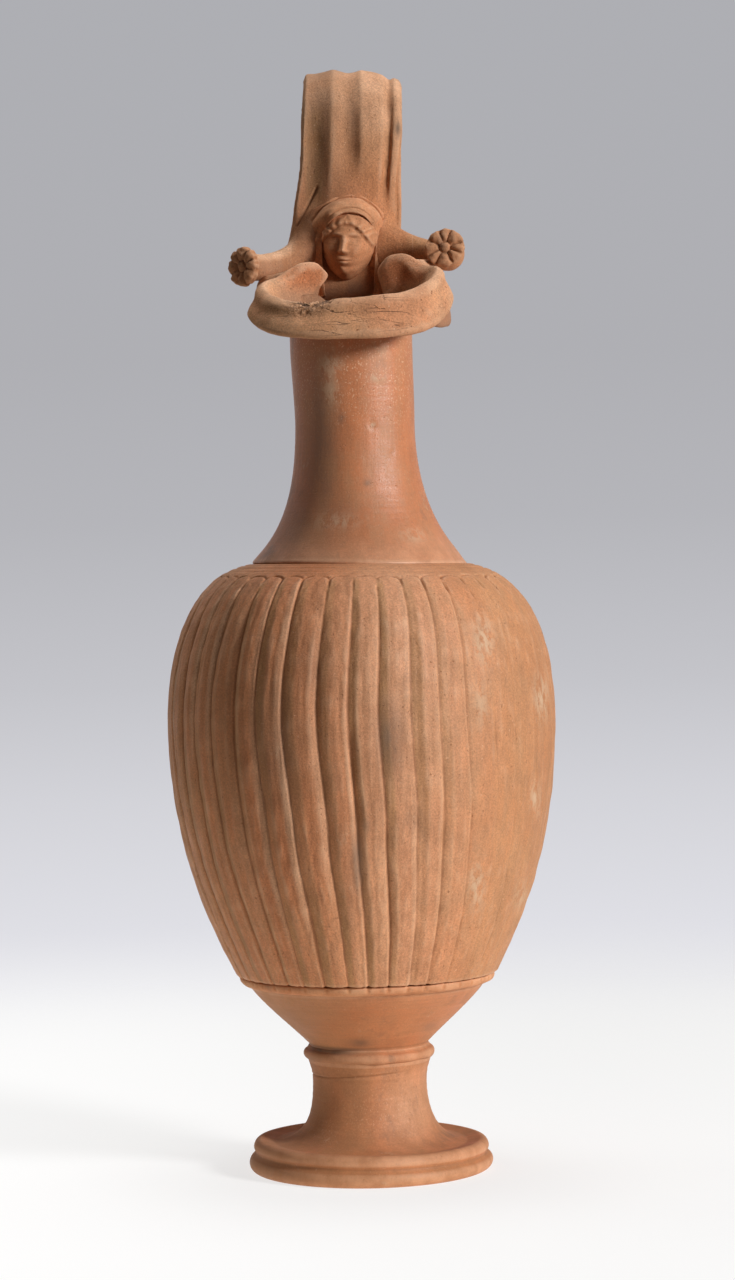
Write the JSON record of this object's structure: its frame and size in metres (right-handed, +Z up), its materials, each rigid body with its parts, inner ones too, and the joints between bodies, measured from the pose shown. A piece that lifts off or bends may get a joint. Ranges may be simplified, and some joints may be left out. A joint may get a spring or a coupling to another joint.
{
  "type": "bilobed oinochoe",
  "caption": "Tall terracotta jug on a pedestal foot, with a ribbed ovoid body, slender neck, lip pinched into two lobes, high strap handle, rosettes and a small relief head.",
  "frame": {"origin": "on the turning axis, at the ground under the foot", "axes": "+Z up along the turning axis, -Y towards the pouring lobe, +Y towards the handle, +X to the right of a viewer in front"},
  "size_m": [0.1564, 0.1564, 0.45],
  "materials": {
    "pedestal_foot": "matt fired clay with turning lines",
    "stem_collar": "matt fired clay, darkened on one side",
    "lower_bowl": "burnished red-brown slip, worn",
    "body_cordon": "matt fired clay",
    "ribbed_body": "worn slip over buff clay, dark grooves",
    "neck": "burnished red-brown slip with pale streaks",
    "bilobed_mouth": "matt fired clay, eroded along the lip",
    "handle_strap": "matt buff fired clay",
    "left_arm": "matt buff fired clay",
    "left_rosette": "matt buff fired clay",
    "right_arm": "matt buff fired clay",
    "right_rosette": "matt buff fired clay",
    "relief_head": "matt buff fired clay, worn",
    "headdress": "matt buff fired clay"
  },
  "bodies": {
    "root": {"pedestal_foot": "pedestal_foot", "stem_collar": "stem_collar", "lower_bowl": "lower_bowl", "body_cordon": "body_cordon", "ribbed_body": "ribbed_body", "neck": "neck", "bilobed_mouth": "bilobed_mouth", "handle_strap": "handle_strap", "left_arm": "left_arm", "left_rosette": "left_rosette", "right_arm": "right_arm", "right_rosette": "right_rosette", "relief_head": "relief_head", "headdress": "headdress"}
  },
  "joints": []
}
